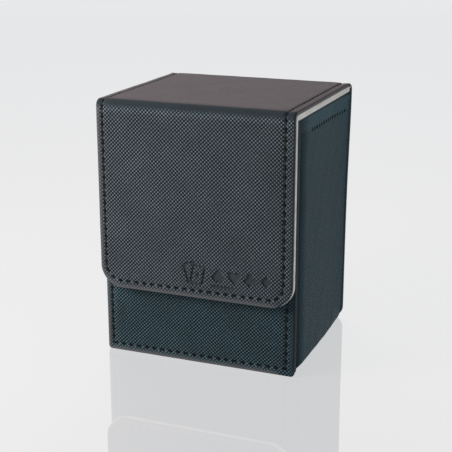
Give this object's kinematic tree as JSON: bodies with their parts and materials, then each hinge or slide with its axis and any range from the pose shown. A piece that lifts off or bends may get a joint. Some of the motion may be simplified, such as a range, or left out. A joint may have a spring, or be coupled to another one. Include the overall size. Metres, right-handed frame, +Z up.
{
  "type": "card deck box",
  "caption": "Flip-top leatherette deck box for sleeved trading cards: a stitched lid and front flap fold on soft hinges, close by magnets and are lined with pale microfibre.",
  "frame": {"origin": "on the floor, under the middle of the closed box", "axes": "+Z up, front and flap towards -Y, +X to the right seen from the front"},
  "size_m": [0.08, 0.0746, 0.1043],
  "materials": {
    "leatherette": "satin",
    "microfibre": "matte",
    "thread": "matte",
    "greyboard": "matte",
    "magnet": "gloss"
  },
  "bodies": {
    "box": {"back_board": "greyboard", "back_cover": "leatherette", "back_inner_board": "greyboard", "back_lining": "microfibre", "back_thread": "thread", "bottom_board": "greyboard", "bottom_cover": "leatherette", "bottom_lining": "microfibre", "front_board": "greyboard", "front_cover": "leatherette", "front_lining": "microfibre", "front_magnet_left": "magnet", "front_magnet_right": "magnet", "front_thread": "thread", "left_side_board": "greyboard", "left_side_cover": "leatherette", "left_side_lining": "microfibre", "left_side_thread": "thread", "rear_hinge_leather": "leatherette", "rear_hinge_lining": "microfibre", "right_side_board": "greyboard", "right_side_cover": "leatherette", "right_side_lining": "microfibre", "right_side_thread": "thread"},
    "lid": {"lid_board": "greyboard", "lid_cover": "leatherette", "lid_lining": "microfibre", "lid_lining_board": "greyboard", "lid_thread_left": "thread", "lid_thread_right": "thread", "front_hinge_leather": "leatherette", "front_hinge_lining": "microfibre"},
    "flap": {"flap_board": "greyboard", "flap_cover": "leatherette", "flap_lining": "microfibre", "flap_lining_board": "greyboard", "flap_magnet_left": "magnet", "flap_magnet_right": "magnet", "flap_thread": "thread"}
  },
  "joints": [
    {"name": "lid_hinge", "type": "hinge", "parent": "box", "child": "lid", "pos_m": [0, 0.03629, 0.10334], "axis": [-1, 0, 0], "range_deg": [0, 200], "deforming": ["rear_hinge_leather", "rear_hinge_lining"]},
    {"name": "flap_hinge", "type": "hinge", "parent": "lid", "child": "flap", "pos_m": [0, -0.03629, 0.10334], "axis": [-1, 0, 0], "range_deg": [0, 180], "deforming": ["front_hinge_leather", "front_hinge_lining"]}
  ]
}
